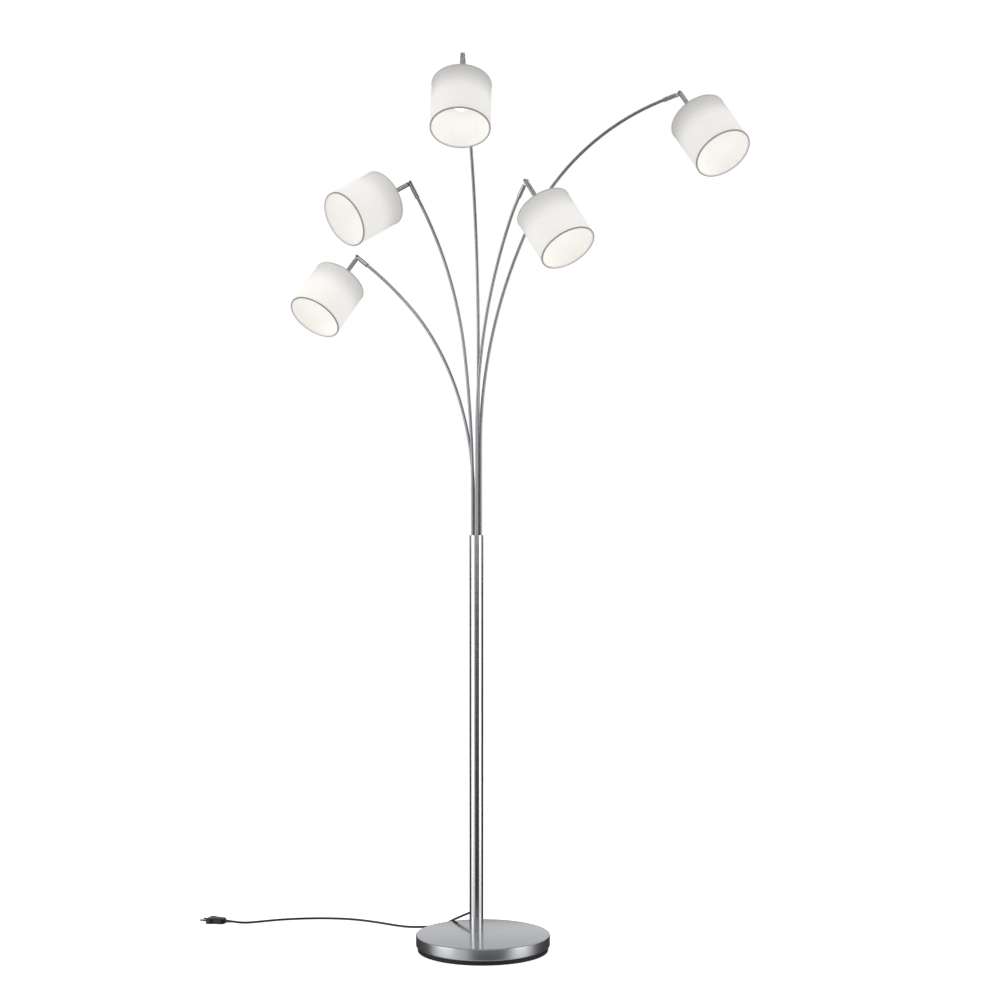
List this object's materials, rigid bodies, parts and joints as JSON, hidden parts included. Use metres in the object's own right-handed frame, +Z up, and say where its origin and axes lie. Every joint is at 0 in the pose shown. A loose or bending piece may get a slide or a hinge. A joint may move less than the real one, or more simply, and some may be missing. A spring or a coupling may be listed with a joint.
{
  "type": "tree floor lamp",
  "caption": "Floor lamp with slim curved tube arms rising from a post on a round weighted base, each with a tilting drum shade on a swivel knuckle; foot switch and plug on the cord.",
  "frame": {"origin": "centre of the round base on the floor, in the underside of the foot", "axes": "+Z up; +Y away from the viewer of the picture; +X to the right in the picture"},
  "size_m": [1.2713, 0.6284, 2.0025],
  "materials": {
    "nickel": "satin brushed",
    "nickel_screws": "satin",
    "holder_nickel": "satin",
    "holder_ring": "white moulded",
    "shade_wire": "white powder coat",
    "shade_fabric": "white woven",
    "bulb_glass": "opal",
    "cast_weight": "raw casting",
    "foot_plastic": "black moulded",
    "fixing_steel": "zinc plated",
    "collar_steel": "dark",
    "cord_rubber": "black",
    "switch_plastic": "black",
    "plug_plastic": "black"
  },
  "bodies": {
    "stand": {"base_cover": "nickel", "base_weight": "cast_weight", "base_foot": "foot_plastic", "post_tube": "nickel", "post_fixing": "fixing_steel", "arm_collar": "collar_steel", "collar_screw": "fixing_steel", "cord_grommet": "cord_rubber", "cord_drop": "cord_rubber", "cord_lead": "cord_rubber", "cord_coil": "cord_rubber", "cord_run": "cord_rubber", "switch_housing": "switch_plastic", "plug": "plug_plastic", "arm_tube_1": "nickel", "arm_tube_2": "nickel", "arm_tube_3": "nickel", "arm_tube_4": "nickel", "arm_tube_5": "nickel"},
    "button": {"switch_button": "switch_plastic"},
    "swivel_1": {"knuckle_sleeve_1": "nickel", "pivot_screw_1": "nickel_screws"},
    "shade_1": {"knuckle_stem_1": "nickel", "lampholder_1": "holder_nickel", "shade_ring_1": "holder_ring", "shade_frame_1": "shade_wire", "shade_drum_1": "shade_fabric", "bulb_1": "bulb_glass"},
    "swivel_2": {"knuckle_sleeve_2": "nickel", "pivot_screw_2": "nickel_screws"},
    "shade_2": {"knuckle_stem_2": "nickel", "lampholder_2": "holder_nickel", "shade_ring_2": "holder_ring", "shade_frame_2": "shade_wire", "shade_drum_2": "shade_fabric", "bulb_2": "bulb_glass"},
    "swivel_3": {"knuckle_sleeve_3": "nickel", "pivot_screw_3": "nickel_screws"},
    "shade_3": {"knuckle_stem_3": "nickel", "lampholder_3": "holder_nickel", "shade_ring_3": "holder_ring", "shade_frame_3": "shade_wire", "shade_drum_3": "shade_fabric", "bulb_3": "bulb_glass"},
    "swivel_4": {"knuckle_sleeve_4": "nickel", "pivot_screw_4": "nickel_screws"},
    "shade_4": {"knuckle_stem_4": "nickel", "lampholder_4": "holder_nickel", "shade_ring_4": "holder_ring", "shade_frame_4": "shade_wire", "shade_drum_4": "shade_fabric", "bulb_4": "bulb_glass"},
    "swivel_5": {"knuckle_sleeve_5": "nickel", "pivot_screw_5": "nickel_screws"},
    "shade_5": {"knuckle_stem_5": "nickel", "lampholder_5": "holder_nickel", "shade_ring_5": "holder_ring", "shade_frame_5": "shade_wire", "shade_drum_5": "shade_fabric", "bulb_5": "bulb_glass"}
  },
  "joints": [
    {"name": "switch_press", "type": "slide", "parent": "stand", "child": "button", "axis": [0, 0, -1], "range_m": [0, 0.0022], "stiffness_N_per_m": 600, "springref_m": -0.0012},
    {"name": "swivel_1", "type": "hinge", "parent": "stand", "child": "swivel_1", "pos_m": [-0.04318, -0.14487, 1.99734], "axis": [-0.0856, -0.5815, 0.809], "range_deg": [-60, 60]},
    {"name": "tilt_1", "type": "hinge", "parent": "swivel_1", "child": "shade_1", "pos_m": [-0.04318, -0.14487, 1.99734], "axis": [0.9947, -0.0962, 0.036], "range_deg": [-144, 10]},
    {"name": "swivel_2", "type": "hinge", "parent": "stand", "child": "swivel_2", "pos_m": [0.44259, -0.05249, 1.9328], "axis": [0.9157, -0.2334, 0.3272], "range_deg": [-60, 60]},
    {"name": "tilt_2", "type": "hinge", "parent": "swivel_2", "child": "shade_2", "pos_m": [0.44259, -0.05249, 1.9328], "axis": [0.359, 0.841, -0.4047], "range_deg": [-106, 49]},
    {"name": "swivel_3", "type": "hinge", "parent": "stand", "child": "swivel_3", "pos_m": [0.09732, -0.02306, 1.74088], "axis": [0.4061, -0.2812, 0.8695], "range_deg": [-45, 20]},
    {"name": "tilt_3", "type": "hinge", "parent": "swivel_3", "child": "shade_3", "pos_m": [0.09732, -0.02306, 1.74088], "axis": [0.6471, 0.7603, -0.0564], "range_deg": [-142, 12]},
    {"name": "swivel_4", "type": "hinge", "parent": "stand", "child": "swivel_4", "pos_m": [-0.16986, 0.08807, 1.75464], "axis": [-0.4561, 0.0895, 0.8854], "range_deg": [-60, 60]},
    {"name": "tilt_4", "type": "hinge", "parent": "swivel_4", "child": "shade_4", "pos_m": [-0.16986, 0.08807, 1.75464], "axis": [0.4391, -0.8427, 0.3114], "range_deg": [-129, 25]},
    {"name": "swivel_5", "type": "hinge", "parent": "stand", "child": "swivel_5", "pos_m": [-0.30801, 0.30846, 1.6112], "axis": [-0.6392, 0.5325, 0.5548], "range_deg": [-60, 60]},
    {"name": "tilt_5", "type": "hinge", "parent": "swivel_5", "child": "shade_5", "pos_m": [-0.30801, 0.30846, 1.6112], "axis": [-0.1429, -0.7911, 0.5947], "range_deg": [-142, 12]}
  ]
}
